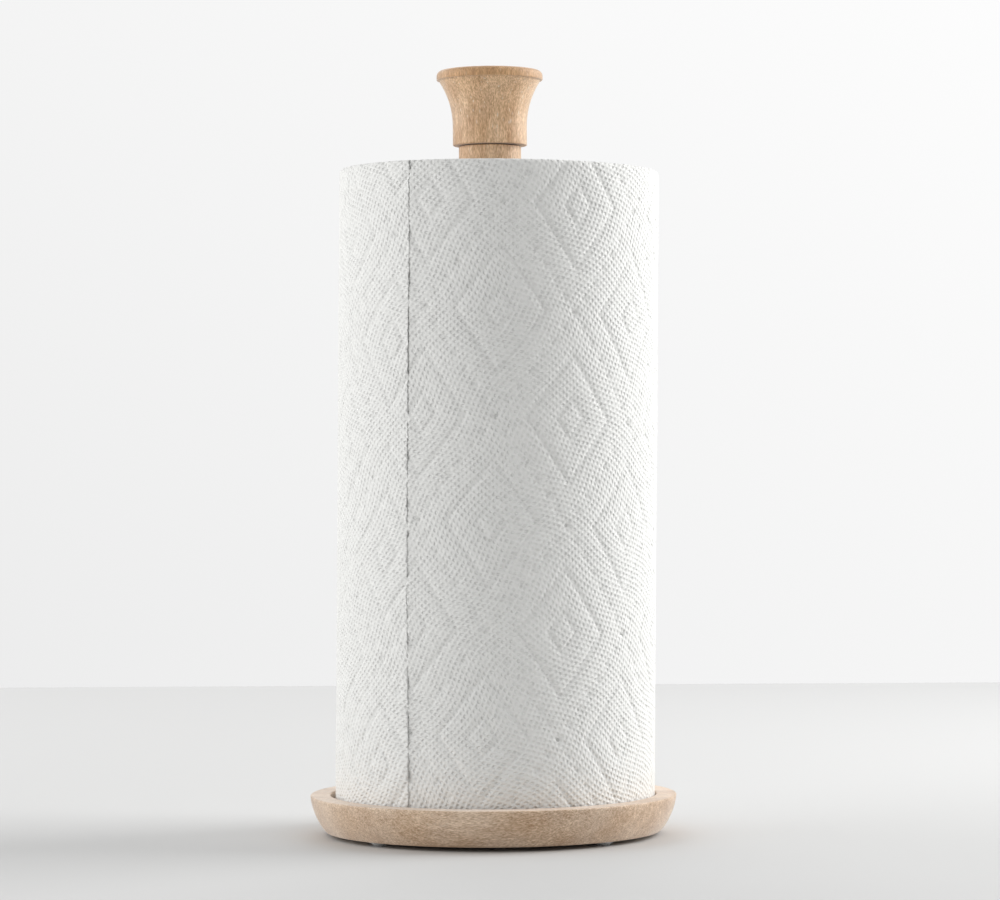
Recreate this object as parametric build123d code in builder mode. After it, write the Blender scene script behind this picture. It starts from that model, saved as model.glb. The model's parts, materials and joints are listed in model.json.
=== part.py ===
from build123d import *
import os
from math import cos, radians, sin

# Paper towel holder: a turned wooden tray and post, a knob that unscrews, and the roll on the post.
# Millimetres, +Z up. The origin is on the floor, on the axis of the round tray.

# The roll, which sets the size of everything that holds it
roll_height = 279.4
roll_diameter = 139.7
core_bore = 42.0
core_wall = 1.0
sheet_thickness = 0.4
sheet_gap_angle = 4.0  # degrees between the loose end of the outer sheet and its own start
sheet_end_angle = 237.3  # where the loose end lies, counted from +X
roll_lean = 0.65  # degrees towards +X, because the roll is not quite square
roll_offset = 0.9  # the roll's axis stands this far from the post's, at the bottom
roll_lift = 0.05  # air under the lowest point of the roll

# The tray
recess_play = 1.3  # between the roll and the wall of the recess
recess_depth = 8.6
rim_width = 8.85
rim_rise = 0.1  # the rim climbs this much from its outer to its inner edge
side_flare = 6.6  # the rim stands this far out from the underside
side_radius = 27.0
floor_thickness = 7.2
rim_outer_round = 0.6
rim_inner_round = 0.5
underside_round = 0.4
recess_round = 0.4

# Clear bumpers under the tray
foot_count = 4
foot_first_angle = 44.0
foot_diameter = 9.5
foot_height = 2.0
foot_taper = 24.0
foot_round = 0.5
foot_inset = 6.5  # from the edge of the underside to the centre of a bumper

# The post
core_play = 7.4  # between the post and the bore of the roll's core
headroom = 11.9  # between the top of the roll and the top of the post
socket_depth = 1.5
glue_gap = 0.1
post_top_chamfer = 0.3

# The screw and washer that hold the post to the tray
screw_diameter = 5.0
screw_length = 45.0
screw_head_diameter = 10.4
screw_head_height = 2.6
screw_head_round = 1.2
screw_hole_gap = 0.3
screw_tip_chamfer = 1.6
drive_length = 5.2
drive_width = 1.1
drive_depth = 1.5
head_recess = 0.3  # the screw head sits this deep inside the underside
tray_washer_diameter = 14.5
tray_washer_thickness = 1.0
counterbore_gap = 0.6

# The knob, its stud and the threaded insert in the post
stud_diameter = 6.35
stud_in_post = 12.0
stud_in_knob = 18.0
stud_chamfer = 0.7
stud_gap = 0.05  # running clearance in the insert
insert_wall = 1.9
insert_length = 13.0
relief_depth = 3.0  # hollow below the insert
relief_gap = 0.5
knob_washer_margin = 1.4  # the washer is this much smaller all round than the post
knob_washer_thickness = 0.4
knob_washer_gap = 0.3
knob_height = 32.8
knob_neck_overhang = 2.6
knob_neck_height = 8.5
knob_cove_depth = 6.1
knob_lip_step = 0.9
knob_lip_height = 4.3
knob_foot_round = 0.4
knob_lip_low_round = 0.5
knob_lip_top_round = 2.4

# Worked out from the sizes above
roll_radius = roll_diameter / 2
core_radius = core_bore / 2 + core_wall
recess_radius = roll_radius + recess_play
tray_radius = recess_radius + rim_width
underside_radius = tray_radius - side_flare
floor_top = foot_height + floor_thickness
rim_inner_top = floor_top + recess_depth
rim_outer_top = rim_inner_top - rim_rise
post_radius = core_bore / 2 - core_play
post_bottom = floor_top - socket_depth
post_top = floor_top + roll_height + headroom
counterbore_depth = head_recess + screw_head_height + tray_washer_thickness
tray_washer_bottom = foot_height + head_recess + screw_head_height
knob_bottom = post_top + knob_washer_thickness
knob_neck_radius = post_radius + knob_neck_overhang
knob_lip_radius = knob_neck_radius + knob_cove_depth + knob_lip_step
insert_radius = stud_diameter / 2 + insert_wall
foot_circle_radius = underside_radius - foot_inset

# The roll stands on its own plane, leaning towards +X, with its low edge just off the floor of the tray
lean = radians(roll_lean)
roll_plane = Plane(
    origin=(roll_offset, 0, floor_top + roll_lift + roll_radius * sin(lean)),
    x_dir=(cos(lean), 0, -sin(lean)),
    z_dir=(sin(lean), 0, cos(lean)),
)
upward_from_underside = Location((0, 0, foot_height), (180, 0, 0))

os.makedirs("parts", exist_ok=True)

# Tray: a turned dish with a bowed side and a rim that rises inwards
with BuildPart() as base_tray:
    with BuildSketch(Plane.XZ) as tray_outline:
        underside_edge = (underside_radius, foot_height)
        rim_outer = (tray_radius, rim_outer_top)
        rim_inner = (recess_radius, rim_inner_top)
        recess_corner = (recess_radius, floor_top)
        with BuildLine():
            Polyline((0, floor_top), (0, foot_height), underside_edge)
            RadiusArc(underside_edge, rim_outer, -side_radius)
            Polyline(rim_outer, rim_inner, recess_corner, (0, floor_top))
        make_face()
        for corner, size in (
            (underside_edge, underside_round),
            (rim_outer, rim_outer_round),
            (rim_inner, rim_inner_round),
            (recess_corner, recess_round),
        ):
            fillet(tray_outline.vertices().sort_by_distance(corner)[0], size)
    revolve(axis=Axis.Z)
    # Shallow socket that centres the post
    with BuildSketch(Plane.XY.offset(floor_top)):
        Circle(post_radius + glue_gap)
    extrude(amount=-socket_depth, mode=Mode.SUBTRACT)
    with Locations(upward_from_underside):
        CounterBoreHole(
            radius=screw_diameter / 2 + screw_hole_gap,
            counter_bore_radius=tray_washer_diameter / 2 + counterbore_gap,
            counter_bore_depth=counterbore_depth,
        )
base_tray.part.label = "base_tray"
export_step(base_tray.part, "parts/base_tray.step")

# Bumpers, stuck to the underside near its edge
for number in range(1, foot_count + 1):
    around = radians(foot_first_angle + (number - 1) * 360 / foot_count)
    spot = (foot_circle_radius * cos(around), foot_circle_radius * sin(around), foot_height)
    with BuildPart() as foot:
        with BuildSketch(Plane(origin=spot)):
            Circle(foot_diameter / 2)
        extrude(amount=-foot_height, taper=foot_taper)
        fillet(foot.faces().sort_by(Axis.Z)[0].edges(), foot_round)
    foot.part.label = f"foot_{number}"
    export_step(foot.part, f"parts/foot_{number}.step")

# Post: a dowel with a pilot hole for the screw and a stepped hole for the insert and the stud's end
with BuildPart() as post:
    with BuildSketch(Plane.XY.offset(post_bottom)):
        Circle(post_radius)
    extrude(amount=post_top - post_bottom)
    chamfer(post.faces().sort_by(Axis.Z)[-1].edges(), post_top_chamfer)
    with Locations((0, 0, post_top)):
        CounterBoreHole(
            radius=stud_diameter / 2 + relief_gap,
            counter_bore_radius=insert_radius,
            counter_bore_depth=insert_length,
            depth=insert_length + relief_depth,
        )
    with Locations(Location((0, 0, post_bottom), (180, 0, 0))):
        Hole(radius=screw_diameter / 2, depth=tray_washer_bottom + screw_length - post_bottom)
post.part.label = "post"
export_step(post.part, "parts/post.step")

# Washer under the screw head, tight against the ceiling of the counterbore
with BuildPart() as base_washer:
    with BuildSketch(Plane.XY.offset(tray_washer_bottom)):
        Circle(tray_washer_diameter / 2)
        Circle(screw_diameter / 2 + screw_hole_gap, mode=Mode.SUBTRACT)
    extrude(amount=tray_washer_thickness)
base_washer.part.label = "base_washer"
export_step(base_washer.part, "parts/base_washer.step")

# Pan-head wood screw with a cross recess, driven up through the tray into the post
with BuildPart() as base_screw:
    with BuildSketch(Plane.XY.offset(tray_washer_bottom)):
        Circle(screw_head_diameter / 2)
    extrude(amount=-screw_head_height)
    fillet(base_screw.faces().sort_by(Axis.Z)[0].edges(), screw_head_round)
    with BuildSketch(Plane.XY.offset(tray_washer_bottom - screw_head_height)):
        Rectangle(drive_length, drive_width)
        Rectangle(drive_width, drive_length)
    extrude(amount=drive_depth, mode=Mode.SUBTRACT)
    with BuildSketch(Plane.XY.offset(tray_washer_bottom)):
        Circle(screw_diameter / 2)
    extrude(amount=screw_length)
    chamfer(base_screw.faces().sort_by(Axis.Z)[-1].edges(), screw_tip_chamfer)
base_screw.part.label = "base_screw"
export_step(base_screw.part, "parts/base_screw.step")

# Threaded insert, flush with the top of the post
with BuildPart() as post_insert:
    with BuildSketch(Plane.XY.offset(post_top)):
        Circle(insert_radius)
        Circle(stud_diameter / 2 + stud_gap, mode=Mode.SUBTRACT)
    extrude(amount=-insert_length)
post_insert.part.label = "post_insert"
export_step(post_insert.part, "parts/post_insert.step")

# Thin dark washer between the knob and the post
with BuildPart() as knob_washer:
    with BuildSketch(Plane.XY.offset(post_top)):
        Circle(post_radius - knob_washer_margin)
        Circle(stud_diameter / 2 + knob_washer_gap, mode=Mode.SUBTRACT)
    extrude(amount=knob_washer_thickness)
knob_washer.part.label = "knob_washer"
export_step(knob_washer.part, "parts/knob_washer.step")

# Knob: straight neck, then a cove that flares out to a flat lip
with BuildPart() as knob:
    with BuildSketch(Plane.XZ) as knob_outline:
        knob_top = knob_bottom + knob_height
        neck_low = (knob_neck_radius, knob_bottom)
        neck_high = (knob_neck_radius, knob_bottom + knob_neck_height)
        cove_end = (knob_lip_radius - knob_lip_step, knob_top - knob_lip_height)
        lip_low = (knob_lip_radius, knob_top - knob_lip_height)
        lip_high = (knob_lip_radius, knob_top)
        with BuildLine():
            Polyline((0, knob_top), (0, knob_bottom), neck_low, neck_high)
            TangentArc(neck_high, cove_end, tangent=(0, 1))
            Polyline(cove_end, lip_low, lip_high, (0, knob_top))
        make_face()
        for corner, size in (
            (neck_low, knob_foot_round),
            (lip_low, knob_lip_low_round),
            (lip_high, knob_lip_top_round),
        ):
            fillet(knob_outline.vertices().sort_by_distance(corner)[0], size)
    revolve(axis=Axis.Z)
    with Locations(Location((0, 0, knob_bottom), (180, 0, 0))):
        Hole(radius=stud_diameter / 2, depth=stud_in_knob)
knob.part.label = "knob"
export_step(knob.part, "parts/knob.step")

# Stud: glued into the knob, turning in the insert
with BuildPart() as knob_stud:
    with BuildSketch(Plane.XY.offset(post_top - stud_in_post)):
        Circle(stud_diameter / 2)
    extrude(amount=stud_in_post + knob_washer_thickness + stud_in_knob)
    chamfer(knob_stud.faces().sort_by(Axis.Z)[0].edges(), stud_chamfer)
knob_stud.part.label = "knob_stud"
export_step(knob_stud.part, "parts/knob_stud.step")

# Cardboard tube of the roll
with BuildPart() as roll_core:
    with BuildSketch(roll_plane):
        Circle(core_radius)
        Circle(core_bore / 2, mode=Mode.SUBTRACT)
    extrude(amount=roll_height)
roll_core.part.label = "roll_core"
export_step(roll_core.part, "parts/roll_core.step")

# The wound paper, up to the outermost sheet
with BuildPart() as paper_roll:
    with BuildSketch(roll_plane):
        Circle(roll_radius - sheet_thickness)
        Circle(core_radius, mode=Mode.SUBTRACT)
    extrude(amount=roll_height)
paper_roll.part.label = "paper_roll"
export_step(paper_roll.part, "parts/paper_roll.step")

# The outermost sheet: its loose end lies at sheet_end_angle, and the sheet runs clockwise from there
with BuildPart() as outer_sheet:
    with BuildSketch(roll_plane):
        with BuildLine():
            sheet_turn = 360 - sheet_gap_angle
            outside = CenterArc((0, 0), roll_radius, sheet_end_angle, -sheet_turn)
            inside = CenterArc((0, 0), roll_radius - sheet_thickness, sheet_end_angle, -sheet_turn)
            Line(outside @ 0, inside @ 0)
            Line(outside @ 1, inside @ 1)
        make_face()
    extrude(amount=roll_height)
outer_sheet.part.label = "outer_sheet"
export_step(outer_sheet.part, "parts/outer_sheet.step")
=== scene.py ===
import json
from math import asin, ceil, cos, pi, radians, sin, sqrt, tau
import bmesh
import bpy
import numpy as np
from mathutils import Matrix, Vector


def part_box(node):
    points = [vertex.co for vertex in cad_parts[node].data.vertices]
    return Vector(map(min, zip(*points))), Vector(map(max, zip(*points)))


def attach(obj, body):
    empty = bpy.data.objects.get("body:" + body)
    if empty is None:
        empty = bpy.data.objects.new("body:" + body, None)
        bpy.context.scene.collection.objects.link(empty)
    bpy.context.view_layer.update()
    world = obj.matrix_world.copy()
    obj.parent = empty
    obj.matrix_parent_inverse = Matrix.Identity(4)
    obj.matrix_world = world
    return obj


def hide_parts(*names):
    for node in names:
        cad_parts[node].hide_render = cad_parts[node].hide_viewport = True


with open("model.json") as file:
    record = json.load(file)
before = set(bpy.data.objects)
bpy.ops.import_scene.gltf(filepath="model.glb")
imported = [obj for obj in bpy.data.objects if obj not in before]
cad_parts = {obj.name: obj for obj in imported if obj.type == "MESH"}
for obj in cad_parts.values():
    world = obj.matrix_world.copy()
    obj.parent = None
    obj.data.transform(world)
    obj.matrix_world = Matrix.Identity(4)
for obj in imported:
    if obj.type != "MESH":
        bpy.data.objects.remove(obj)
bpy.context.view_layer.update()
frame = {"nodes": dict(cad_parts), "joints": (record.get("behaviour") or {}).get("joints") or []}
nodes = frame["nodes"]
mm = 0.001
lipHeight = 4.3 * mm  # of the flat lip at the top of the knob
print("frame loaded:", len(nodes), "CAD nodes")


def addPiece(name, points, faces, material, body, smooth=True):
    mesh = bpy.data.meshes.new(name)
    mesh.from_pydata([tuple(p) for p in points], [], [tuple(f) for f in faces])
    mesh.validate()
    mesh.polygons.foreach_set("use_smooth", [smooth] * len(mesh.polygons))
    mesh.materials.append(material)
    mesh.update()
    piece = bpy.data.objects.new(name, mesh)
    bpy.context.scene.collection.objects.link(piece)
    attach(piece, body)
    return piece


def arcPoints(start, end, sagitta, steps):
    # points of a bowed line from start to end, both left out; sagitta is its height at the middle
    (x0, y0), (x1, y1) = start, end
    chord = sqrt((x1 - x0) ** 2 + (y1 - y0) ** 2)
    radius = chord * chord / (8 * abs(sagitta)) + abs(sagitta) / 2
    half = asin(min(1, chord / 2 / radius))
    along = ((x1 - x0) / chord, (y1 - y0) / chord)
    out = (along[1], -along[0]) if sagitta > 0 else (-along[1], along[0])
    points = []
    for k in range(1, steps):
        angle = half * (2 * k / steps - 1)
        t = radius * sin(angle) + chord / 2
        lift = radius * (cos(angle) - cos(half))
        points.append((x0 + along[0] * t + out[0] * lift, y0 + along[1] * t + out[1] * lift))
    return points


def roundCorner(before, corner, after, size, steps=5):
    # a corner replaced by a small arc that leaves both sides smoothly
    a = Vector(before) - Vector(corner)
    b = Vector(after) - Vector(corner)
    turn = a.angle(b) / 2
    reach = size / np.tan(turn)
    a.normalize()
    b.normalize()
    centre = Vector(corner) + (a + b).normalized() * (size / sin(turn))
    first, last = Vector(corner) + a * reach - centre, Vector(corner) + b * reach - centre
    return [tuple(centre + first.slerp(last, k / steps) * size) for k in range(steps + 1)]


def spaced(points, longest):
    # extra points on long runs, so that the surface can carry small waves
    full = [points[0]]
    for a, b in zip(points, points[1:]):
        count = max(1, ceil((Vector(b) - Vector(a)).length / longest))
        full += [tuple(Vector(a).lerp(Vector(b), k / count)) for k in range(1, count + 1)]
    return full


def lathe(profile, segments, closed=False, wave=None):
    # turns a list of (radius, height) round Z; a radius of zero at either end becomes a single point
    points, rings = [], []
    for radius, height in profile:
        if radius < 1e-7:
            rings.append([len(points)] * segments)
            points.append((0, 0, height))
            continue
        ring = []
        for k in range(segments):
            angle = tau * k / segments
            r, z = wave(radius, height, angle) if wave else (radius, height)
            ring.append(len(points))
            points.append((r * cos(angle), r * sin(angle), z))
        rings.append(ring)
    pairs = list(zip(rings, rings[1:])) + ([(rings[-1], rings[0])] if closed else [])
    faces = []
    for low, high in pairs:
        for k in range(segments):
            n = (k + 1) % segments
            face = list(dict.fromkeys((low[k], low[n], high[n], high[k])))
            if len(face) > 2:
                faces.append(face)
    return points, faces


def newMaterial(name, roughness, specular=0.5):
    material = bpy.data.materials.new(name)
    material.use_nodes = True
    shader = material.node_tree.nodes["Principled BSDF"]
    shader.inputs["Roughness"].default_value = roughness
    shader.inputs["Specular IOR Level"].default_value = specular
    return material, material.node_tree, shader


def addNode(tree, kind, inputs=None, **settings):
    node = tree.nodes.new(kind)
    for key, value in settings.items():
        setattr(node, key, value)
    for key, value in (inputs or {}).items():
        if isinstance(value, bpy.types.NodeSocket):
            tree.links.new(value, node.inputs[key])
        else:
            node.inputs[key].default_value = value
    return node


def mathNode(tree, operation, a, b=0.0, c=0.0):
    return addNode(tree, "ShaderNodeMath", {0: a, 1: b, 2: c}, operation=operation).outputs[0]


def vectorNode(tree, operation, a, b):
    return addNode(tree, "ShaderNodeVectorMath", {0: a, 1: b}, operation=operation)


def mixColour(tree, factor, a, b, blend="MIX"):
    node = addNode(tree, "ShaderNodeMix", data_type="RGBA", blend_type=blend)
    for index, value in ((0, factor), (6, a), (7, b)):
        if isinstance(value, bpy.types.NodeSocket):
            tree.links.new(value, node.inputs[index])
        elif index == 0:
            node.inputs[0].default_value = value
        else:
            node.inputs[index].default_value = (*value, 1)
    return node.outputs[2]


def rampNode(tree, value, low, high, outLow=0.0, outHigh=1.0, smooth=True):
    node = addNode(tree, "ShaderNodeMapRange", {"Value": value, "From Min": low, "From Max": high,
                                                "To Min": outLow, "To Max": outHigh}, clamp=True)
    node.interpolation_type = "SMOOTHSTEP" if smooth else "LINEAR"
    return node.outputs[0]


def noiseNode(tree, vector, scale, detail=3.0, rough=0.5, distortion=0.0):
    node = addNode(tree, "ShaderNodeTexNoise", {"Vector": vector, "Scale": scale, "Detail": detail,
                                                "Roughness": rough, "Distortion": distortion})
    return node.outputs[0]


def newGroup(name, inputs, outputs):
    tree = bpy.data.node_groups.new(name, "ShaderNodeTree")
    for socketName, kind, value in inputs:
        socket = tree.interface.new_socket(socketName, in_out="INPUT", socket_type=kind)
        if value is not None:
            socket.default_value = value
    for socketName, kind in outputs:
        tree.interface.new_socket(socketName, in_out="OUTPUT", socket_type=kind)
    return tree, tree.nodes.new("NodeGroupInput"), tree.nodes.new("NodeGroupOutput")


def fillGroup(tree, group, values):
    node = tree.nodes.new("ShaderNodeGroup")
    node.node_tree = group
    for key, value in values.items():
        if isinstance(value, bpy.types.NodeSocket):
            tree.links.new(value, node.inputs[key])
        else:
            node.inputs[key].default_value = value
    return node


woodLook = dict(
    tray=dict(light=(0.715, 0.530, 0.370), dark=(0.450, 0.280, 0.160), wash=(0.860, 0.740, 0.620)),
    knob=dict(light=(0.800, 0.540, 0.320), dark=(0.500, 0.285, 0.140), wash=(0.900, 0.740, 0.560)),
    fleck=(0.900, 0.820, 0.700),
    # painted shade: the knob's lip band is multiplied by this colour, as if shaded by the dark room in
    # front
    paintedLipShade=(0.78, 0.68, 0.56),
    speckContrast=0.72,
    poreDepth=0.00010,
)


def makeWoodGroup():
    # grain runs along the vector's X; every other size is in metres
    tree, source, sink = newGroup(
        "bleachedGrain",
        [("Vector", "NodeSocketVector", None), ("Light", "NodeSocketColor", (1, 1, 1, 1)),
         ("Dark", "NodeSocketColor", (0, 0, 0, 1)), ("Wash", "NodeSocketColor", (1, 1, 1, 1)),
         ("Fleck", "NodeSocketColor", (1, 1, 1, 1)), ("Flecks", "NodeSocketFloat", 0.5),
         ("Specks", "NodeSocketFloat", 0.5)],
        [("Color", "NodeSocketColor"), ("Roughness", "NodeSocketFloat"), ("Height", "NodeSocketFloat")])
    place = source.outputs["Vector"]

    def stretched(along, across):
        return addNode(tree, "ShaderNodeMapping", {"Vector": place, "Scale": (along, across, across)},
                       vector_type="POINT").outputs[0]

    rings = noiseNode(tree, stretched(2.2, 34), 1.0, 4, 0.55, 0.6)
    fibres = noiseNode(tree, stretched(80, 900), 1.0, 3, 0.6, 0.2)
    streaks = noiseNode(tree, stretched(14, 210), 1.0, 4, 0.6, 0.4)
    blotch = noiseNode(tree, stretched(30, 46), 1.0, 3, 0.5)
    poreCells = addNode(tree, "ShaderNodeTexVoronoi", {"Vector": stretched(210, 1150), "Scale": 1.0,
                                                       "Randomness": 1.0}, feature="F1")
    pores = rampNode(tree, poreCells.outputs["Distance"], 0.30, 0.16)
    some = rampNode(tree, noiseNode(tree, stretched(90, 420), 1.0, 2), 0.50, 0.62)
    fleckMask = mathNode(tree, "MULTIPLY", pores, some)
    darkCells = addNode(tree, "ShaderNodeTexVoronoi", {"Vector": stretched(150, 1600), "Scale": 1.0,
                                                       "Randomness": 1.0}, feature="F1")
    darkPores = mathNode(tree, "MULTIPLY", rampNode(tree, darkCells.outputs["Distance"], 0.26, 0.12),
                         rampNode(tree, noiseNode(tree, stretched(70, 300), 1.0, 2), 0.48, 0.64))

    tone = mathNode(tree, "ADD", mathNode(tree, "MULTIPLY", rings, 0.4),
                    mathNode(tree, "ADD", mathNode(tree, "MULTIPLY", streaks, 0.35),
                             mathNode(tree, "MULTIPLY", fibres, 0.45)))
    shade = rampNode(tree, tone, 0.50, 0.72, smooth=False)
    colour = mixColour(tree, shade, source.outputs["Light"], source.outputs["Dark"])
    colour = mixColour(tree, mathNode(tree, "MULTIPLY", rampNode(tree, blotch, 0.35, 0.7), 0.3),
                       colour, source.outputs["Wash"])
    specks = noiseNode(tree, stretched(560, 2400), 1.0, 2, 0.6)
    specks = mathNode(tree, "SUBTRACT", rampNode(tree, specks, 0.32, 0.68, smooth=False), 0.5)
    swing = mathNode(tree, "MULTIPLY", specks, source.outputs["Specks"])
    gains = {}
    for k, share in enumerate((0.8, 1.0, 1.25)):  # blue swings most, so dark specks turn warm
        gains[k] = mathNode(tree, "MULTIPLY_ADD", swing, share, 1.0)
    gain = addNode(tree, "ShaderNodeCombineColor", gains).outputs[0]
    colour = mixColour(tree, 1.0, colour, gain, "MULTIPLY")
    colour = mixColour(tree, mathNode(tree, "MULTIPLY", darkPores, 0.6), colour, source.outputs["Dark"])
    colour = mixColour(tree, mathNode(tree, "MULTIPLY", fleckMask, source.outputs["Flecks"]),
                       colour, source.outputs["Fleck"])
    tree.links.new(colour, sink.inputs["Color"])
    tree.links.new(rampNode(tree, streaks, 0.3, 0.7, 0.54, 0.42), sink.inputs["Roughness"])
    raised = mathNode(tree, "MULTIPLY_ADD", specks, 0.5, mathNode(tree, "MULTIPLY", fibres, 0.5))
    sunk = mathNode(tree, "ADD", mathNode(tree, "MULTIPLY", darkPores, 0.7),
                    mathNode(tree, "MULTIPLY", fleckMask, 0.3))
    tree.links.new(mathNode(tree, "SUBTRACT", raised, sunk), sink.inputs["Height"])
    return tree


bleachedGrain = makeWoodGroup()


def makeWood(name, tones, turnAngles, flecks, paintedLipShade=None):
    # turnAngles swing the grain from X to where this piece has it; above the given height the colour is
    # multiplied darker, painted shade on the knob's lip
    material, tree, shader = newMaterial(name, 0.5, 0.38)
    shader.inputs["Sheen Weight"].default_value = 0.42
    shader.inputs["Sheen Roughness"].default_value = 0.45
    place = addNode(tree, "ShaderNodeTexCoord").outputs["Object"]
    turned = addNode(tree, "ShaderNodeMapping", {"Vector": place, "Rotation": turnAngles,
                                                 "Location": (0.013, 0.031, 0.017)}).outputs[0]
    grain = fillGroup(tree, bleachedGrain, {
        "Vector": turned, "Light": (*tones["light"], 1), "Dark": (*tones["dark"], 1),
        "Wash": (*tones["wash"], 1), "Fleck": (*woodLook["fleck"], 1), "Flecks": flecks,
        "Specks": woodLook["speckContrast"]})
    bump = addNode(tree, "ShaderNodeBump", {"Height": grain.outputs["Height"], "Strength": 0.5,
                                            "Distance": woodLook["poreDepth"]})
    colour = grain.outputs["Color"]
    if paintedLipShade:
        up = addNode(tree, "ShaderNodeSeparateXYZ", {0: place}).outputs[2]
        # painted shade on the lip: mask from this height up
        lipShadeMask = rampNode(tree, up, paintedLipShade - 0.6 * mm, paintedLipShade + 0.6 * mm)
        colour = mixColour(tree, lipShadeMask, colour, mixColour(tree, 1.0, colour, woodLook["paintedLipShade"], "MULTIPLY"))
    tree.links.new(colour, shader.inputs["Base Color"])
    tree.links.new(grain.outputs["Roughness"], shader.inputs["Roughness"])
    tree.links.new(bump.outputs[0], shader.inputs["Normal"])
    return material


trayWood = makeWood("trayWood", woodLook["tray"], (0, 0, radians(4)), 0.35)
postWood = makeWood("postWood", woodLook["knob"], (0, radians(90), 0), 0.4)
knobWood = makeWood("knobWood", woodLook["knob"], (0, radians(90), 0), 0.75,
                    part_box("knob")[1].z - lipHeight)
print("wood ready")


pinLook = dict(
    pitch=2.14 * mm,  # between neighbouring rows of pins
    swing=1.9 * mm,  # how far the rows wander sideways
    depth=0.00055,
    stray=0.9 * mm,  # pins sit this unevenly in their rows
    rows=dict(angle=-34.2, waveAngle=62.0, waveLength=50.9 * mm, phase=-151.1),
    crossRows=dict(angle=242.8, waveAngle=-35.0, waveLength=52.2 * mm, phase=234.6),
    white=(0.885, 0.885, 0.865),
    # painted shade for the pits of the pins
    shade=(0.60, 0.60, 0.57),
)


def makePinGroup():
    # pins stand where two sets of wavy rows cross; the vector is a place on the flat sheet in metres
    tree, source, sink = newGroup(
        "pinRows",
        [("Vector", "NodeSocketVector", None), ("Pitch", "NodeSocketFloat", 0.002),
         ("Swing", "NodeSocketFloat", 0.002)],
        [("Height", "NodeSocketFloat")])
    place = source.outputs["Vector"]
    scale = mathNode(tree, "DIVIDE", tau, source.outputs["Pitch"])
    sets = []
    for row in (pinLook["rows"], pinLook["crossRows"]):
        angle, waveAngle = radians(row["angle"]), radians(row["waveAngle"])
        straight = vectorNode(tree, "DOT_PRODUCT", place, (cos(angle), sin(angle), 0)).outputs["Value"]
        turn = tau / row["waveLength"]
        waveWay = (turn * cos(waveAngle), turn * sin(waveAngle), 0)
        wave = vectorNode(tree, "DOT_PRODUCT", place, waveWay).outputs["Value"]
        bend = mathNode(tree, "SINE", mathNode(tree, "ADD", wave, radians(row["phase"])))
        bend = mathNode(tree, "MULTIPLY", bend, source.outputs["Swing"])
        across = mathNode(tree, "SUBTRACT", straight, bend)
        ripple = mathNode(tree, "COSINE", mathNode(tree, "MULTIPLY", across, scale))
        sets.append(mathNode(tree, "MULTIPLY_ADD", ripple, 0.5, 0.5))
    tree.links.new(mathNode(tree, "MULTIPLY", sets[0], sets[1]), sink.inputs["Height"])
    return tree


pinRows = makePinGroup()


def makeTowelPaper():
    material, tree, shader = newMaterial("towelPaper", 0.92, 0.12)
    flat = addNode(tree, "ShaderNodeUVMap", uv_map="flatSheet").outputs[0]
    stray = addNode(tree, "ShaderNodeTexNoise", {"Vector": flat, "Scale": 420, "Detail": 2.0})
    stray = vectorNode(tree, "SUBTRACT", stray.outputs["Color"], (0.5, 0.5, 0.5)).outputs[0]
    stray = vectorNode(tree, "MULTIPLY", stray, (pinLook["stray"],) * 3).outputs[0]
    flat = vectorNode(tree, "ADD", flat, stray).outputs[0]
    place = addNode(tree, "ShaderNodeTexCoord").outputs["Object"]
    pins = fillGroup(tree, pinRows, {"Vector": flat, "Pitch": pinLook["pitch"],
                                     "Swing": pinLook["swing"]}).outputs["Height"]
    fibre = noiseNode(tree, place, 1100, 4, 0.6)
    crumple = noiseNode(tree, place, 150, 3, 0.5)
    uneven = rampNode(tree, noiseNode(tree, place, 260, 2, 0.6), 0.3, 0.7, 0.45, 1.1)
    fuzz = mathNode(tree, "MULTIPLY_ADD", fibre, 0.22, mathNode(tree, "MULTIPLY", crumple, 0.4))
    relief = mathNode(tree, "SUBTRACT", fuzz, mathNode(tree, "MULTIPLY", pins, uneven))
    bump = addNode(tree, "ShaderNodeBump", {"Height": relief, "Strength": 1.0,
                                            "Distance": pinLook["depth"]})
    # the pits of the pins are painted a little darker: painted shade in the pits
    colour = mixColour(tree, mathNode(tree, "MULTIPLY", pins, 0.12), pinLook["white"], pinLook["shade"])
    tree.links.new(colour, shader.inputs["Base Color"])
    tree.links.new(bump.outputs[0], shader.inputs["Normal"])
    shader.inputs["Sheen Weight"].default_value = 0.08
    shader.inputs["Sheen Roughness"].default_value = 0.6
    return material


towelPaper = makeTowelPaper()


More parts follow.
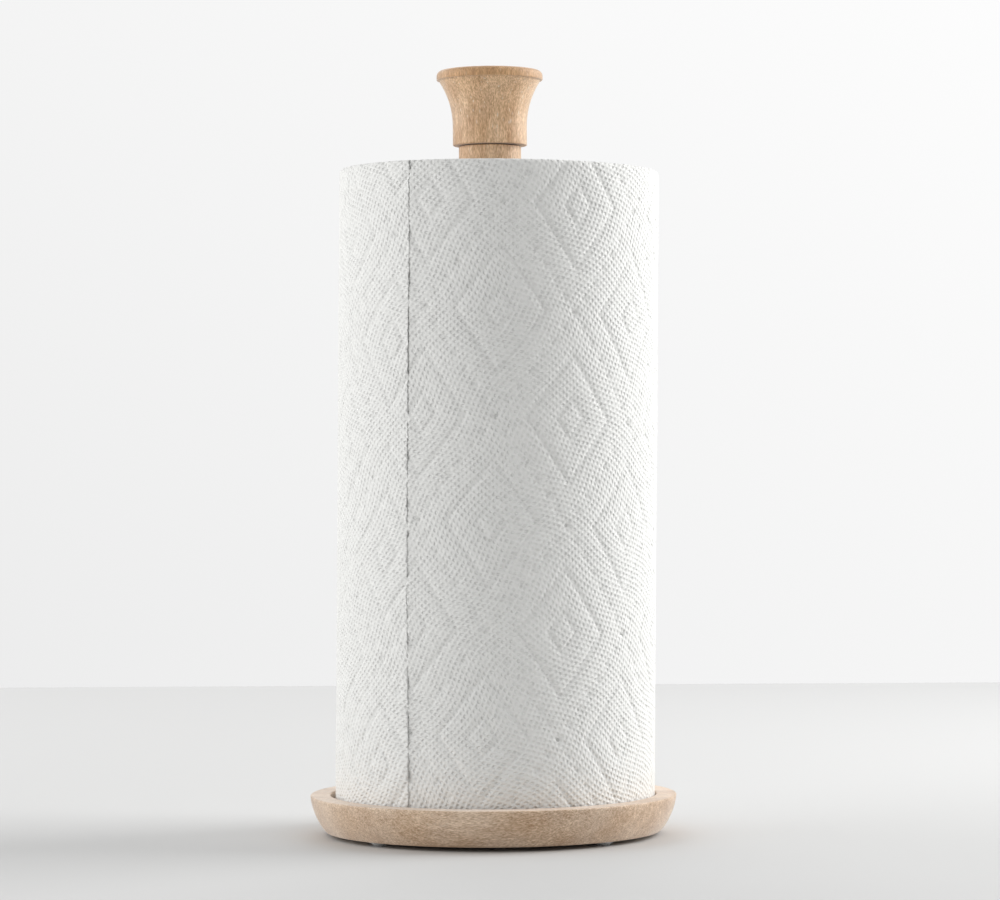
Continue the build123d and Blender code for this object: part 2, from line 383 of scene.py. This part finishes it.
def makeWoundEdge(axisPoint, layerPitch):
    # cut ends of the wound layers: fine rings round the roll's own axis
    material, tree, shader = newMaterial("woundEdge", 0.95, 0.08)
    place = addNode(tree, "ShaderNodeTexCoord").outputs["Object"]
    out = vectorNode(tree, "SUBTRACT", place, axisPoint).outputs[0]
    axes = addNode(tree, "ShaderNodeSeparateXYZ", {0: out})
    flat = addNode(tree, "ShaderNodeCombineXYZ", {0: axes.outputs[0], 1: axes.outputs[1]}).outputs[0]
    radius = addNode(tree, "ShaderNodeVectorMath", {0: flat}, operation="LENGTH").outputs["Value"]
    wobble = mathNode(tree, "SUBTRACT", noiseNode(tree, place, 60, 3), 0.5)
    loose = mathNode(tree, "ADD", radius, mathNode(tree, "MULTIPLY", wobble, 1.6 * mm))
    layers = mathNode(tree, "COSINE", mathNode(tree, "MULTIPLY", loose, tau / layerPitch))
    layers = mathNode(tree, "MULTIPLY_ADD", layers, 0.5, 0.5)
    bunch = noiseNode(tree, addNode(tree, "ShaderNodeCombineXYZ", {0: loose}).outputs[0], 420, 4, 0.7)
    fibre = noiseNode(tree, place, 1500, 3, 0.6)
    height = mathNode(tree, "ADD", mathNode(tree, "MULTIPLY", layers, 0.4),
                      mathNode(tree, "ADD", bunch, mathNode(tree, "MULTIPLY", fibre, 0.5)))
    bump = addNode(tree, "ShaderNodeBump", {"Height": height, "Strength": 0.9, "Distance": 0.00035})
    # darker in rings between the layers: painted shade in the gaps between layers, plus random tone along
    # the radius
    shade = mathNode(tree, "ADD", mathNode(tree, "MULTIPLY", layers, 0.35), bunch)
    shade = rampNode(tree, shade, 0.35, 0.95)
    tree.links.new(mixColour(tree, shade, (0.60, 0.60, 0.585), pinLook["white"]),
                   shader.inputs["Base Color"])
    tree.links.new(bump.outputs[0], shader.inputs["Normal"])
    return material


def makeCardboard():
    material, tree, shader = newMaterial("greyBoard", 0.85, 0.2)
    place = addNode(tree, "ShaderNodeTexCoord").outputs["Object"]
    squeezed = addNode(tree, "ShaderNodeMapping", {"Vector": place, "Scale": (1, 1, 2.5)}).outputs[0]
    fibre = noiseNode(tree, squeezed, 420, 4, 0.65)
    specks = rampNode(tree, noiseNode(tree, place, 1700, 2), 0.62, 0.72)
    axes = addNode(tree, "ShaderNodeSeparateXYZ", {0: place})
    around = mathNode(tree, "DIVIDE", mathNode(tree, "ARCTAN2", axes.outputs[1], axes.outputs[0]), tau)
    climb = mathNode(tree, "MULTIPLY", axes.outputs[2], 1 / (58 * mm))
    turns = mathNode(tree, "FRACT", mathNode(tree, "ADD", climb, around))
    seam = rampNode(tree, mathNode(tree, "ABSOLUTE", mathNode(tree, "SUBTRACT", turns, 0.5)), 0.012, 0.004)
    colour = mixColour(tree, rampNode(tree, fibre, 0.3, 0.7), (0.36, 0.285, 0.20), (0.50, 0.41, 0.30))
    colour = mixColour(tree, mathNode(tree, "MULTIPLY", specks, 0.5), colour, (0.24, 0.19, 0.14))
    colour = mixColour(tree, mathNode(tree, "MULTIPLY", seam, 0.6), colour, (0.20, 0.155, 0.11))
    height = mathNode(tree, "SUBTRACT", fibre, seam)
    bump = addNode(tree, "ShaderNodeBump", {"Height": height, "Strength": 0.6, "Distance": 0.00015})
    tree.links.new(colour, shader.inputs["Base Color"])
    tree.links.new(bump.outputs[0], shader.inputs["Normal"])
    return material


def makeMetal(name, light, dark, roughness):
    material, tree, shader = newMaterial(name, roughness)
    shader.inputs["Metallic"].default_value = 1.0
    place = addNode(tree, "ShaderNodeTexCoord").outputs["Object"]
    scuffs = noiseNode(tree, place, 900, 4, 0.6)
    stain = noiseNode(tree, place, 160, 3, 0.5)
    colour = mixColour(tree, rampNode(tree, stain, 0.35, 0.7), light, dark)
    tree.links.new(colour, shader.inputs["Base Color"])
    dull = rampNode(tree, scuffs, 0.3, 0.7, roughness * 0.75, roughness * 1.35)
    tree.links.new(dull, shader.inputs["Roughness"])
    bump = addNode(tree, "ShaderNodeBump", {"Height": scuffs, "Strength": 0.25, "Distance": 0.00003})
    tree.links.new(bump.outputs[0], shader.inputs["Normal"])
    return material


def makeDarkRubber():
    material, tree, shader = newMaterial("darkRubber", 0.8, 0.3)
    grit = noiseNode(tree, addNode(tree, "ShaderNodeTexCoord").outputs["Object"], 1300, 3, 0.6)
    tree.links.new(mixColour(tree, grit, (0.035, 0.03, 0.027), (0.075, 0.068, 0.06)),
                   shader.inputs["Base Color"])
    bump = addNode(tree, "ShaderNodeBump", {"Height": grit, "Strength": 0.4, "Distance": 0.00005})
    tree.links.new(bump.outputs[0], shader.inputs["Normal"])
    return material


def makeClearRubber():
    material, tree, shader = newMaterial("clearRubber", 0.28, 0.5)
    haze = noiseNode(tree, addNode(tree, "ShaderNodeTexCoord").outputs["Object"], 500, 3, 0.5)
    tree.links.new(mixColour(tree, haze, (0.93, 0.93, 0.92), (0.98, 0.98, 0.975)),
                   shader.inputs["Base Color"])
    tree.links.new(rampNode(tree, haze, 0.3, 0.7, 0.22, 0.36), shader.inputs["Roughness"])
    shader.inputs["Transmission Weight"].default_value = 0.35
    shader.inputs["IOR"].default_value = 1.45
    return material


steel = makeMetal("zincSteel", (0.62, 0.62, 0.61), (0.48, 0.48, 0.475), 0.32)
brass = makeMetal("turnedBrass", (0.72, 0.54, 0.25), (0.56, 0.40, 0.18), 0.3)
darkRubber = makeDarkRubber()
clearRubber = makeClearRubber()
greyBoard = makeCardboard()
print("materials ready")


trayShape = dict(
    rimWidth=8.85 * mm,
    rimRise=0.1 * mm,
    flare=6.6 * mm,
    sideSagitta=1.3 * mm,
    recessDepth=8.6 * mm,
    socketDepth=1.5 * mm,
    socketGap=0.1 * mm,
    boreRadius=7.85 * mm,
    boreDepth=3.9 * mm,
    screwHole=2.8 * mm,
    underRound=0.3 * mm,
    rimOuterRound=0.6 * mm,
    rimInnerRound=0.5 * mm,
    recessRound=0.6 * mm,
    rimAllowance=0.06 * mm,  # what rounding takes off the rim's outer corner
    segments=256,
)


def makeTray():
    low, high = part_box("base_tray")
    t = trayShape
    outer = nodes["post"].bound_box[6][0]
    rimRadius = (high.x - low.x) / 2 + t["rimAllowance"]
    recess = rimRadius - t["rimWidth"]
    top = high.z
    floorTop = top - t["recessDepth"]
    foot = (rimRadius - t["flare"], low.z)
    rimOuter = (rimRadius, top - t["rimRise"])
    rimInner = (recess, top)
    corner = (recess, floorTop)
    socket = outer + t["socketGap"]
    side = arcPoints(foot, rimOuter, t["sideSagitta"], 14)
    boreTop = (t["boreRadius"], low.z + t["boreDepth"])
    boreEdge = (t["boreRadius"], low.z)
    socketFloor = floorTop - t["socketDepth"]
    profile = [(t["screwHole"], socketFloor), (t["screwHole"], low.z + t["boreDepth"]), boreTop]
    profile += roundCorner(boreTop, boreEdge, foot, t["underRound"], 3)
    profile += roundCorner(boreEdge, foot, side[0], t["underRound"], 4)
    profile += side
    profile += roundCorner(side[-1], rimOuter, rimInner, t["rimOuterRound"], 6)
    profile += roundCorner(rimOuter, rimInner, corner, t["rimInnerRound"], 6)
    profile += roundCorner(rimInner, corner, (0, floorTop), t["recessRound"], 4)
    profile += [(socket, floorTop), (socket, socketFloor)]
    profile = spaced(profile, 3 * mm)

    def turned(radius, height, angle):
        # the tray isn't quite true: a few hundredths of a millimetre of hand sanding
        sand = 0.045 * mm * sin(3 * angle + 1.1) + 0.03 * mm * sin(7 * angle + 40 * height)
        return radius + (sand if radius > recess * 0.98 else 0), height

    points, faces = lathe(profile, t["segments"], closed=True, wave=turned)
    piece = addPiece("turnedTray", points, faces, trayWood, "stand")
    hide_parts("base_tray")


makeTray()


knobShape = dict(
    neckHeight=8.5 * mm,
    coveDepth=6.1 * mm,
    coveSteps=24,
    lipStep=0.9 * mm,
    neckRound=0.4 * mm,
    lipUnderRound=0.5 * mm,
    lipTopRound=2.4 * mm,
    studRadius=3.175 * mm,
    studDepth=18 * mm,
    segments=192,
)


def makeKnob():
    low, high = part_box("knob")
    s = knobShape
    lip = (high.x - low.x) / 2
    cove = lip - s["lipStep"]
    neck = cove - s["coveDepth"]
    neckTop = low.z + s["neckHeight"]
    lipLow = high.z - lipHeight
    # the cove is an arc that leaves the neck upright
    rise, reach = lipLow - neckTop, cove - neck
    radius = (rise * rise + reach * reach) / (2 * reach)
    sweep = asin(rise / radius)
    sweeps = [sweep * k / s["coveSteps"] for k in range(1, s["coveSteps"] + 1)]
    curve = [(neck + radius * (1 - cos(angle)), neckTop + radius * sin(angle)) for angle in sweeps]
    studTop = low.z + s["studDepth"]
    profile = [(0, studTop), (s["studRadius"], studTop), (s["studRadius"], low.z)]
    profile += roundCorner((0, low.z), (neck, low.z), (neck, neckTop), s["neckRound"])
    profile += [(neck, neckTop)] + curve
    profile += roundCorner(curve[-1], (lip, lipLow), (lip, high.z), s["lipUnderRound"], 4)
    profile += roundCorner((lip, lipLow), (lip, high.z), (0, high.z), s["lipTopRound"], 9)
    profile += [(0, high.z)]
    profile = spaced(profile, 1.6 * mm)

    def turned(r, height, angle):
        sand = 0.03 * mm * sin(2 * angle + 0.4) + 0.02 * mm * sin(5 * angle + 300 * height)
        return r + (sand if r > neck * 0.9 else 0), height

    points, faces = lathe(profile, s["segments"], wave=turned)
    piece = addPiece("turnedKnob", points, faces, knobWood, "knob")
    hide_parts("knob")


makeKnob()
nodes["post"].data.materials.clear()
nodes["post"].data.materials.append(postWood)


threadShape = dict(
    pitch=1.27 * mm,
    depth=0.75 * mm,
    leadIn=1.2 * mm,  # the thread grows to its full size over this length
    leadSize=0.72,
    segments=40,
    stepsPerTurn=8,
)


def makeStud():
    low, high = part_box("knob_stud")
    t = threadShape
    major = (high.x - low.x) / 2
    rows = int((high.z - low.z) / t["pitch"] * t["stepsPerTurn"])
    profile = [(0, low.z), (major * 0.55, low.z)]
    profile += [(major, low.z + (high.z - low.z) * (k + 0.5) / rows) for k in range(rows)]
    profile += [(major * 0.55, high.z), (0, high.z)]

    def threaded(radius, height, angle):
        if radius < major:
            return radius, height
        turn = ((height - low.z) / t["pitch"] - angle / tau) % 1
        groove = min(1, max(0, abs(turn - 0.5) * 2.6 - 0.2))
        lead = min(1, (height - low.z) / t["leadIn"])
        return (major - t["depth"] * (1 - groove)) * (t["leadSize"] + (1 - t["leadSize"]) * lead), height

    points, faces = lathe(profile, t["segments"], wave=threaded)
    piece = addPiece("threadedStud", points, faces, steel, "knob", smooth=False)
    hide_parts("knob_stud")


makeStud()
for name, material in (("base_screw", steel), ("base_washer", steel), ("post_insert", brass),
                       ("knob_washer", darkRubber), ("roll_core", greyBoard)):
    nodes[name].data.materials.clear()
    nodes[name].data.materials.append(material)


bumperShape = dict(
    flatShare=0.55,  # of its radius lies flat on the floor
    roundness=0.75,
    steps=10,
    segments=40,
)


def makeBumpers():
    b = bumperShape
    for number in range(1, 5):
        low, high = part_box(f"foot_{number}")
        centre = (low + high) / 2
        wide, tall = (high.x - low.x) / 2, high.z - low.z
        turns = [k * pi / 2 / b["steps"] for k in range(b["steps"] + 1)]
        dome = [(wide * sin(turn), low.z + tall * (1 - cos(turn)) ** b["roundness"]) for turn in turns]
        dome = [p for p in dome if p[0] > wide * 0.6]
        dome = [(0, low.z), (wide * b["flatShare"], low.z)] + dome + [(0, high.z)]
        points, faces = lathe(dome, b["segments"])
        points = [(x + centre.x, y + centre.y, z) for x, y, z in points]
        piece = addPiece(f"bumper_{number}", points, faces, clearRubber, "stand")
        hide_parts(f"foot_{number}")


makeBumpers()
print("stand built")


rollJoint = next(j for j in frame["joints"] if j["name"] == "roll_spin")
rollAxis = Vector(rollJoint["axis"]).normalized()
rollFoot = Vector(rollJoint["pos_m"])
rollAcross = Vector((rollAxis.z, 0, -rollAxis.x))
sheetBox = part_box("outer_sheet")
rollRadius = (sheetBox[1].y - sheetBox[0].y) / 2 + 0.05 * mm
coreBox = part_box("roll_core")
coreRadius = (coreBox[1].y - coreBox[0].y) / 2
rollHeight = ((sheetBox[1].z - sheetBox[0].z) - 2 * rollRadius * rollAxis.x) / rollAxis.z

rollShape = dict(
    looseEnd=radians(237.3),  # where the free end of the paper lies, counted from +X
    turns=1.035,
    layerStep=0.62 * mm,  # the spiral gains this much in one turn
    sheetThickness=0.3 * mm,
    endLift=0.52 * mm,
    endReach=radians(18),
    shoulder=0.95 * mm,  # the layer under the loose end rises this much towards it
    shoulderReach=3.5 * mm,
    cornerSoft=1.6 * mm,
)
diamond = dict(
    halfWidth=32.4 * mm,  # between the centres of neighbouring columns
    halfHeight=44.9 * mm,
    tilt=radians(2.0),
    atU=0.7 * mm,  # centre of one diamond, from the front and from the bottom of the roll
    atV=216.8 * mm,
    outline=0.60,
    heart=0.19,
    dots=7,  # to one side of a cell
    grooveDepth=0.44 * mm,
    grooveWidth=0.80 * mm,
    dotDepth=0.72 * mm,
    dotWidth=1.05 * mm,
    pillow=0.16 * mm,
    mesh=1.7 * mm,
)


def rollPoint(radius, angle, height):
    outward = rollAcross * cos(angle) + Vector((0, 1, 0)) * sin(angle)
    return rollFoot + outward * radius + rollAxis * height


def spiralRadius(turn):
    # outer face of the sheet, counted in turns from its loose end
    return rollRadius - rollShape["layerStep"] * turn


def wrapped(value):
    return (value + 1) % 2 - 1


def embossHeight(alpha, beta):
    # alpha and beta count along the two diagonal directions; a diamond is centred at every even pair
    d = diamond
    a, b = wrapped(alpha), wrapped(beta)
    f = np.maximum(np.abs(a), np.abs(b))
    acrossSide = 1 / sqrt(1 / d["halfWidth"] ** 2 + 1 / d["halfHeight"] ** 2)
    height = np.zeros_like(f)
    for ring, depth in ((d["outline"], 1.0), (d["heart"], 0.85)):
        height -= depth * d["grooveDepth"] * np.exp(-((f - ring) * acrossSide / d["grooveWidth"]) ** 2)
    for inner, outer in ((0, d["heart"]), (d["heart"], d["outline"]), (d["outline"], 1.0)):
        middle, half = (inner + outer) / 2, (outer - inner) / 2
        puff = np.clip(1 - ((f - middle) / half) ** 2, 0, 1)
        height += d["pillow"] * puff * (0.6 if outer == 1.0 else 1.0)
    n = d["dots"]
    for x, y in ((alpha, beta), (beta, alpha)):
        row = wrapped(x + 1)  # zero on the line between two rows of diamonds
        step = wrapped(y * n + 1) / n
        du = (row + step) / 2 * d["halfWidth"]
        dv = (row - step) / 2 * d["halfHeight"]
        height -= d["dotDepth"] * np.exp(-(du * du + dv * dv) / d["dotWidth"] ** 2)
    return height


def gridLines():
    # places of the mesh lines in one period, dense at the grooves and the dots
    d = diamond
    acrossSide = 1 / sqrt(1 / d["halfWidth"] ** 2 + 1 / d["halfHeight"] ** 2)
    groove, dot = d["grooveWidth"] * 1.05 / acrossSide, d["dotWidth"] * 1.05 / acrossSide
    keys = {-1.0, -1 + dot, 1 - dot}
    for centre in (d["outline"], d["heart"]):
        for side in (-1, 1):
            keys |= {side * centre - groove, side * centre, side * centre + groove}
    n = d["dots"]
    for k in range(1, n):
        centre = 2 * k / n - 1
        keys |= {centre - dot, centre, centre + dot}
    keys = sorted(keys)
    tidy = [keys[0]]
    for key in keys[1:]:
        if (key - tidy[-1]) * acrossSide > 0.25 * mm:
            tidy.append(key)
    lines = []
    for a, b in zip(tidy, tidy[1:] + [1.0]):
        count = max(1, ceil((b - a) * acrossSide / d["mesh"]))
        lines += [a + (b - a) * k / count for k in range(count)]
    return lines


def makeFlatSheet(length, height, frontAt):
    # the sheet laid flat: quads whose sides run along the diamonds, trimmed to the sheet's rectangle
    d = diamond
    lines = gridLines()
    uLow, uHigh = -length, 0.0
    corners = [(u, v) for u in (uLow, uHigh) for v in (0, height)]
    turnCos, turnSin = cos(d["tilt"]), sin(d["tilt"])

    def toGrid(u, v):
        du, dv = u + frontAt - d["atU"], v - d["atV"]
        x = (du * turnCos - dv * turnSin) / d["halfWidth"]
        y = (du * turnSin + dv * turnCos) / d["halfHeight"]
        return x + y, x - y

    alphas, betas = zip(*(toGrid(u, v) for u, v in corners))
    perUnit = []
    for values in (alphas, betas):
        first, last = int(np.floor(min(values) / 2)) - 1, int(np.ceil(max(values) / 2)) + 1
        perUnit.append(np.array([2 * k + x for k in range(first, last + 1) for x in lines]))
    alpha, beta = np.meshgrid(perUnit[0], perUnit[1], indexing="ij")
    x, y = (alpha + beta) / 2 * d["halfWidth"], (alpha - beta) / 2 * d["halfHeight"]
    v = y * turnCos - x * turnSin + d["atV"]
    u = x * turnCos + y * turnSin + d["atU"] - frontAt
    margin = 2.5 * mm
    inside = (u > uLow - margin) & (u < uHigh + margin) & (v > -margin) & (v < height + margin)
    keep = inside[:-1, :-1] | inside[1:, :-1] | inside[:-1, 1:] | inside[1:, 1:]
    index = -np.ones(alpha.shape, int)
    used = np.zeros(alpha.shape, bool)
    for di in (0, 1):
        for dj in (0, 1):
            used[di:di + keep.shape[0], dj:dj + keep.shape[1]] |= keep
    index[used] = np.arange(used.sum())
    i, j = np.nonzero(keep)
    quads = np.stack([index[i, j], index[i, j + 1], index[i + 1, j + 1], index[i + 1, j]], 1)
    points = np.stack([u[used], v[used], np.zeros(used.sum())], 1)
    mesh = bpy.data.meshes.new("flatSheet")
    mesh.from_pydata(points.tolist(), [], quads.tolist())
    work = bmesh.new()
    work.from_mesh(mesh)
    bpy.data.meshes.remove(mesh)
    for place, outward in (((uLow, 0, 0), (-1, 0, 0)), ((uHigh, 0, 0), (1, 0, 0)),
                           ((0, 0, 0), (0, -1, 0)), ((0, height, 0), (0, 1, 0))):
        bmesh.ops.bisect_plane(work, geom=work.verts[:] + work.edges[:] + work.faces[:], dist=0.03 * mm,
                               plane_co=place, plane_no=outward, clear_outer=True)
    work.verts.ensure_lookup_table()
    return work, toGrid


def softNoise(u, v, scale, seed):
    # smooth waves, the same on every run
    total = 0
    for k in range(5):
        turn = seed * 1.7 + k * 2.399
        wave = (u * cos(turn) + v * sin(turn)) / scale * (1 + 0.37 * k) + seed + 1.3 * k
        total = total + np.sin(wave) / (1 + 0.5 * k)
    return total / 2.4


def makeOuterSheet():
    s = rollShape
    length = s["turns"] * tau * (rollRadius - s["layerStep"] / 2)
    # the pattern is placed from the front of the roll, nearly one turn in
    frontAt = length / s["turns"] * (s["looseEnd"] + pi / 2) / tau
    work, toGrid = makeFlatSheet(length, rollHeight, frontAt)
    work.verts.index_update()
    laid = list(work.verts)
    flat = np.array([vert.co for vert in laid])
    u, v = flat[:, 0], flat[:, 1]
    alpha, beta = toGrid(u, v)
    along = -u  # distance from the loose end
    # a torn edge: shallow teeth and a slow wave, gone a few millimetres in
    ragged = 0.28 * mm * np.sin(v / (0.9 * mm)) * np.sin(v / (3.1 * mm))
    ragged = ragged + 0.35 * mm * softNoise(v, v * 0, 14 * mm, 3)
    ragged = ragged - 1.3 * mm * np.exp(-(v / (70 * mm)) ** 2)
    along = along + ragged * np.exp(-along / (3 * mm))
    turn = along / length * s["turns"]
    lift = s["endLift"] * np.clip(1 - turn * tau / s["endReach"], 0, 1) ** 2
    # inside the tray the roll stays as round as its recess
    free = np.clip((v - 9 * mm) / (9 * mm), 0, 1)
    lift = lift * (1 + 0.2 * softNoise(v, v * 0, 22 * mm, 5)) * free
    swell = 0.10 * mm * softNoise(u, v, 26 * mm, 1) + 0.05 * mm * softNoise(u, v, 9 * mm, 2)
    under = np.clip((turn - 1) / 0.01, 0, 1)
    edge = np.minimum(v, rollHeight - v)
    soft = s["cornerSoft"]
    sunk = soft - np.sqrt(np.clip(soft ** 2 - (soft - edge) ** 2, 0, None))
    corner = np.where(edge < soft, sunk, 0) * 0.5
    past = (1 - turn) * length / s["turns"]
    shoulderHeight = s["shoulder"] * (0.45 + 0.55 * free)
    shoulder = shoulderHeight * np.exp(np.where(past > 0, -past / s["shoulderReach"], past / (0.8 * mm)))
    radius = spiralRadius(turn) + lift * (1 - under) + shoulder + swell - corner + embossHeight(alpha, beta)
    angle = s["looseEnd"] - turn * tau
    outward = (np.cos(angle)[:, None] * np.array(rollAcross)
               + np.sin(angle)[:, None] * np.array((0.0, 1.0, 0.0)))
    placed = np.array(rollFoot) + radius[:, None] * outward + v[:, None] * np.array(rollAxis)
    grid = work.loops.layers.uv.new("flatSheet")
    for face in work.faces:
        face.smooth = True
        for loop in face.loops:
            k = loop.vert.index
            loop[grid].uv = (u[k] + frontAt, v[k])
    # turn the edge under, so that the paper shows its thickness
    rim = [e for e in work.edges if e.is_boundary]
    number = {vert: vert.index for e in rim for vert in e.verts}
    made = bmesh.ops.extrude_edge_only(work, edges=rim)
    for vert, co in zip(laid, placed):
        vert.co = co
    for vert in (x for x in made["geom"] if isinstance(x, bmesh.types.BMVert)):
        k = next(number[e.other_vert(vert)] for e in vert.link_edges if e.other_vert(vert) in number)
        # the soft torn edge reaches down to the layer under it
        deep = s["sheetThickness"]
        if u[k] > -0.05 * mm:
            deep = max(0.15 * mm, s["layerStep"] - shoulderHeight[k] + lift[k])
        vert.co = rollPoint(radius[k] - deep, angle[k], v[k])
    mesh = bpy.data.meshes.new("embossedSheet")
    work.to_mesh(mesh)
    work.free()
    mesh.materials.append(towelPaper)
    piece = bpy.data.objects.new("embossedSheet", mesh)
    bpy.context.scene.collection.objects.link(piece)
    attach(piece, "roll")
    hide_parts("outer_sheet")
    print("outer sheet:", len(mesh.polygons), "faces, flat length", round(length, 4))
    return piece, length


embossedSheet, sheetLength = makeOuterSheet()


woundShape = dict(
    segments=288,
    rings=62,
    endGap=0.55 * mm,  # from the sheet's edge down to the cut layers
    coreGap=0.05 * mm,
    sheetGap=0.45 * mm,
    layerPitch=0.45 * mm,
)


def makeWoundPaper():
    # the body of the roll, with its cut layers showing at both ends
    s, w = rollShape, woundShape
    segments, rings, endGap = w["segments"], w["rings"], w["endGap"]
    inner = coreRadius + w["coreGap"]
    shares = np.linspace(0, 1, rings)

    def ringHeight(share, angle):
        # layers that slipped a little along the roll, following the spiral
        along = share + angle / tau / rings
        slip = 0.22 * mm * np.sin(along * 61) * np.sin(along * 23 + 1) + 0.16 * mm * np.sin(along * 173 + 2)
        outmost = np.clip((share - 0.85) / 0.15, 0, 1)
        return (slip + 0.12 * mm * np.sin(2 * angle + 5 * along)) * (1 - outmost) + 0.32 * mm * outmost

    columns, faces = [], []
    for k in range(segments):
        angle = s["looseEnd"] - tau * (k + 0.5) / segments
        outer = spiralRadius((k + 0.5) / segments) - s["sheetThickness"] - w["sheetGap"]
        column = []
        for share in shares:
            radius = inner + (outer - inner) * share
            column.append(rollPoint(radius, angle, endGap - ringHeight(share, angle)))
        for share in shares[::-1]:
            radius = inner + (outer - inner) * share
            column.append(rollPoint(radius, angle, rollHeight - endGap + ringHeight(share, angle)))
        columns.append(column)
    size = len(columns[0])
    points = [p for column in columns for p in column]
    for k in range(segments):
        n = (k + 1) % segments
        for j in range(size):
            m = (j + 1) % size
            faces.append((k * size + j, k * size + m, n * size + m, n * size + j))
    woundEdge = makeWoundEdge(tuple(rollPoint(0, 0, rollHeight)), w["layerPitch"])
    piece = addPiece("woundPaper", points, faces, woundEdge, "roll")
    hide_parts("paper_roll")


makeWoundPaper()
print("paper roll built")


studio = dict(
    # the far floor colour is brighter: painted light standing in for the back light's reach
    floorNear=(0.60, 0.60, 0.596),
    floorFar=(0.70, 0.70, 0.696),
    floorReach=1.005,
    backdrop=(0.87, 0.955),  # brightness that the camera sees, from left to right
    backdropRise=0.03,
    room=(0.46, 0.75),  # light from the front and from the back of the room
    lights=dict(
        keyRight=dict(place=(1.15, 0.25, 0.75), aim=(0, 0, 0.15), size=(0.9, 1.1), power=17),
        fillLeft=dict(place=(-1.3, -0.08, 0.6), aim=(0, 0, 0.17), size=(2.0, 1.1), power=13.3),
        backSoft=dict(place=(-0.25, 1.9, 1.5), aim=(-0.15, 0.75, 0), size=(1.6, 0.8), power=8.3),
    ),
    camera=dict(distance=1.517, height=0.163, lens=124.8, yaw=-0.14, pitch=0.18, roll=-0.30),
)


def makeFloor():
    material, tree, shader = newMaterial("paleFloor", 0.7, 0.2)
    place = addNode(tree, "ShaderNodeTexCoord").outputs["Object"]
    depth = addNode(tree, "ShaderNodeSeparateXYZ", {0: place}).outputs[1]
    # painted light: the floor's colour brightens towards the back
    back = rampNode(tree, depth, -0.1, 1.0, smooth=False)
    colour = mixColour(tree, back, studio["floorNear"], studio["floorFar"])
    tree.links.new(colour, shader.inputs["Base Color"])
    reach = studio["floorReach"]
    mesh = bpy.data.meshes.new("floor")
    mesh.from_pydata([(-reach, -reach, 0), (reach, -reach, 0), (reach, reach, 0), (-reach, reach, 0)], [],
                     [(0, 1, 2, 3)])
    mesh.materials.append(material)
    floor = bpy.data.objects.new("floor", mesh)
    bpy.context.scene.collection.objects.link(floor)


def makeWorld():
    world = bpy.data.worlds.new("studio")
    bpy.context.scene.world = world
    world.use_nodes = True
    tree = world.node_tree
    background = tree.nodes["Background"]
    direction = addNode(tree, "ShaderNodeTexCoord").outputs["Generated"]
    axes = addNode(tree, "ShaderNodeSeparateXYZ", {0: direction})
    rise = studio["backdropRise"]
    seenSide = rampNode(tree, axes.outputs[0], -0.16, 0.16, *studio["backdrop"], smooth=False)
    seenRise = rampNode(tree, axes.outputs[2], -0.05, 0.13, -rise, rise, smooth=False)
    seen = mathNode(tree, "ADD", seenSide, seenRise)
    behind = rampNode(tree, axes.outputs[1], -0.3, 0.9, *studio["room"])
    isSeen = addNode(tree, "ShaderNodeLightPath").outputs["Is Camera Ray"]
    unseen = mathNode(tree, "SUBTRACT", 1.0, isSeen)
    strength = mathNode(tree, "ADD", mathNode(tree, "MULTIPLY", isSeen, seen),
                        mathNode(tree, "MULTIPLY", unseen, behind))
    tree.links.new(strength, background.inputs["Strength"])
    background.inputs["Color"].default_value = (1, 1, 1, 1)


def addLight(name, place, aim, size, power):
    data = bpy.data.lights.new(name, "AREA")
    data.shape = "RECTANGLE"
    data.size, data.size_y = size
    data.energy = power
    light = bpy.data.objects.new(name, data)
    bpy.context.scene.collection.objects.link(light)
    light.location = place
    light.rotation_euler = (Vector(aim) - Vector(place)).to_track_quat("-Z", "Y").to_euler()
    light.visible_camera = False


def makeCamera():
    view = studio["camera"]
    data = bpy.data.cameras.new("camera")
    data.lens = view["lens"]
    data.sensor_width = 36
    data.clip_start, data.clip_end = 0.05, 20
    camera = bpy.data.objects.new("camera", data)
    bpy.context.scene.collection.objects.link(camera)
    camera.matrix_world = (Matrix.Translation((0, -view["distance"], view["height"]))
                           @ Matrix.Rotation(radians(view["yaw"]), 4, "Z")
                           @ Matrix.Rotation(radians(90 + view["pitch"]), 4, "X")
                           @ Matrix.Rotation(radians(view["roll"]), 4, "Z"))
    bpy.context.scene.camera = camera


makeFloor()
makeWorld()
for lightName, light in studio["lights"].items():
    addLight(lightName, **light)
makeCamera()
bpy.context.scene.view_settings.view_transform = "Standard"
bpy.context.scene.view_settings.look = "None"
print("stage set")
